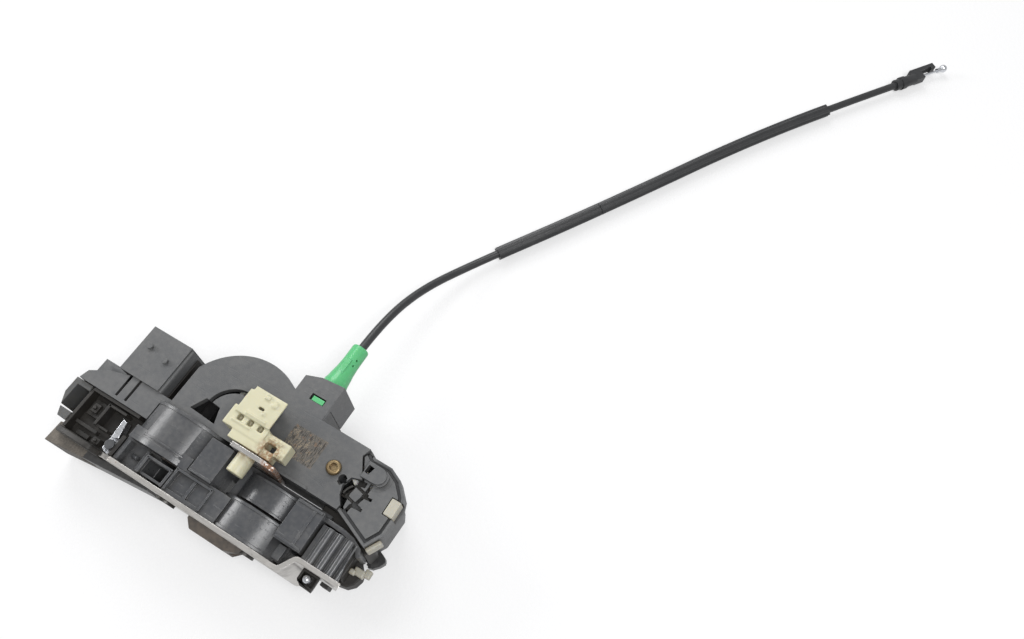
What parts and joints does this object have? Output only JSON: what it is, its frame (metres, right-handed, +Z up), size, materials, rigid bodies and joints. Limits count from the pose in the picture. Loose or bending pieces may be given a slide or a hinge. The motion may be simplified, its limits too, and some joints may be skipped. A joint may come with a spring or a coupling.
{
  "type": "vehicle door latch actuator",
  "caption": "Side-door latch with a claw, pawl and steel face plate, a motor lock actuator with plug socket, a rod clip lever and a sheathed pull cable.",
  "frame": {"origin": "on the plane the latch lies on, at the foot under the actuator case, 2 mm from the middle of the body in X and on its middle in Y", "axes": "+X along the latch from the lock-cylinder end to the lug end, +Y from the steel face plate towards the cable, +Z up out of the actuator cover"},
  "size_m": [0.3214, 0.4993, 0.0597],
  "materials": {
    "zinc_steel": "zinc-plated pressed steel, satin",
    "hard_steel": "hardened steel, dark satin",
    "spring_steel": "drawn spring wire",
    "lever_steel": "zinc-plated sheet, light rust at the edges",
    "die_cast_zinc": "bright die-cast zinc",
    "yellow_zinc": "yellow passivated screw",
    "terminal_brass": "tinned brass",
    "black_plastic": "moulded black, slight gloss",
    "housing_plastic": "moulded glass-filled nylon, dark grey, semi-gloss",
    "case_plastic": "moulded dark grey, matte and dusty",
    "light_grey_plastic": "light grey, slightly translucent",
    "natural_nylon": "natural cream nylon",
    "gear_nylon": "white gear plastic",
    "green_plastic": "bright green moulding",
    "seal_rubber": "dusty soft rubber",
    "cable_black": "extruded black sheath"
  },
  "bodies": {
    "latch_frame": {"frame_plate": "zinc_steel", "mouth_surround": "black_plastic", "back_plate": "zinc_steel", "claw_pin": "zinc_steel", "pawl_pin": "zinc_steel", "claw_spring": "spring_steel", "pawl_spring": "spring_steel", "latch_housing": "housing_plastic", "lever_pin": "zinc_steel", "key_bearing": "light_grey_plastic", "entrance_seal": "seal_rubber", "lug_cap": "black_plastic", "detent_pin": "die_cast_zinc", "actuator_case": "case_plastic", "connector_terminals": "terminal_brass", "actuator_cover": "case_plastic", "right_lid": "case_plastic", "lid_seal": "seal_rubber", "cover_screw": "yellow_zinc", "carrier_tabs": "natural_nylon", "motor_can": "zinc_steel", "motor_cap": "black_plastic", "microswitches": "black_plastic", "cable_ferrule": "green_plastic", "cable_sheath": "cable_black", "sleeve_near": "cable_black", "sleeve_far": "cable_black", "end_ferrule": "black_plastic"},
    "claw": {"claw_core": "hard_steel", "claw_pads": "black_plastic"},
    "pawl": {"pawl": "hard_steel"},
    "release": {"release_lever": "lever_steel"},
    "clip": {"rod_clip": "natural_nylon"},
    "key": {"key_lever": "die_cast_zinc"},
    "hook": {"hook_lever": "black_plastic"},
    "inside": {"inside_lever": "lever_steel"},
    "inner_cable": {"inner_wire": "spring_steel"},
    "pull_end": {"pull_wire": "die_cast_zinc"},
    "worm_shaft": {"worm": "terminal_brass"},
    "sector": {"worm_sector": "gear_nylon"},
    "link": {"lock_link": "gear_nylon"},
    "lock": {"lock_lever": "lever_steel"}
  },
  "joints": [
    {"name": "claw_turn", "type": "hinge", "parent": "latch_frame", "child": "claw", "pos_m": [0.031, -0.0348, 0.025], "axis": [0, 1, 0], "range_deg": [0, 50], "stiffness_Nm_per_rad": 0.08, "springref_deg": -34.38},
    {"name": "pawl_turn", "type": "hinge", "parent": "latch_frame", "child": "pawl", "pos_m": [-0.016, -0.0348, 0.0295], "axis": [0, 1, 0], "range_deg": [0, 9]},
    {"name": "release_turn", "type": "hinge", "parent": "latch_frame", "child": "release", "pos_m": [0.018, -0.00495, 0.022], "axis": [0, 1, 0], "range_deg": [0, 12], "stiffness_Nm_per_rad": 0.1, "springref_deg": -22.92},
    {"name": "clip_turn", "type": "hinge", "parent": "release", "child": "clip", "pos_m": [0.013, -0.00495, 0.05], "axis": [0, 1, 0], "range_deg": [-8, 0]},
    {"name": "key_turn", "type": "hinge", "parent": "latch_frame", "child": "key", "pos_m": [-0.054, -0.034, 0.033], "axis": [0, 0, 1], "range_deg": [0, 18]},
    {"name": "hook_turn", "type": "hinge", "parent": "latch_frame", "child": "hook", "pos_m": [0.0785, -0.0165, 0.003], "axis": [0, 0, 1], "range_deg": [0, 20]},
    {"name": "cable_pull", "type": "slide", "parent": "latch_frame", "child": "pull_end", "axis": [0.597, 0.8022, 0], "range_m": [0, 0.01]},
    {"name": "inner_cable_slide", "type": "slide", "parent": "latch_frame", "child": "inner_cable", "axis": [0, 1, 0], "range_m": [0, 0.01]},
    {"name": "inside_turn", "type": "hinge", "parent": "latch_frame", "child": "inside", "pos_m": [0.041, 0.019, 0.026], "axis": [0, 0, -1], "range_deg": [0, 24.34]},
    {"name": "sector_turn", "type": "hinge", "parent": "latch_frame", "child": "sector", "pos_m": [-0.0098, 0.0063, 0.0152], "axis": [0, 0, -1], "range_deg": [0, 30]},
    {"name": "worm_turn", "type": "hinge", "parent": "latch_frame", "child": "worm_shaft", "pos_m": [0.003, 0.02847, 0.0152], "axis": [0.866, -0.5, 0], "range_deg": [-1681, 0]},
    {"name": "link_slide", "type": "slide", "parent": "latch_frame", "child": "link", "axis": [1, 0, 0], "range_m": [0, 0.00829]},
    {"name": "lock_turn", "type": "hinge", "parent": "latch_frame", "child": "lock", "pos_m": [0.068, 0.004, 0.035], "axis": [0, 0, -1], "range_deg": [0, 40.4]}
  ],
  "couplings": [
    {"joint": "inner_cable_slide", "follows": "cable_pull", "ratio": 1},
    {"joint": "inside_turn", "follows": "cable_pull", "rad_per_m": 42.454},
    {"joint": "worm_turn", "follows": "sector_turn", "ratio": -56},
    {"joint": "link_slide", "follows": "sector_turn", "m_per_rad": 0.015818},
    {"joint": "lock_turn", "follows": "sector_turn", "ratio": 1.3458}
  ]
}
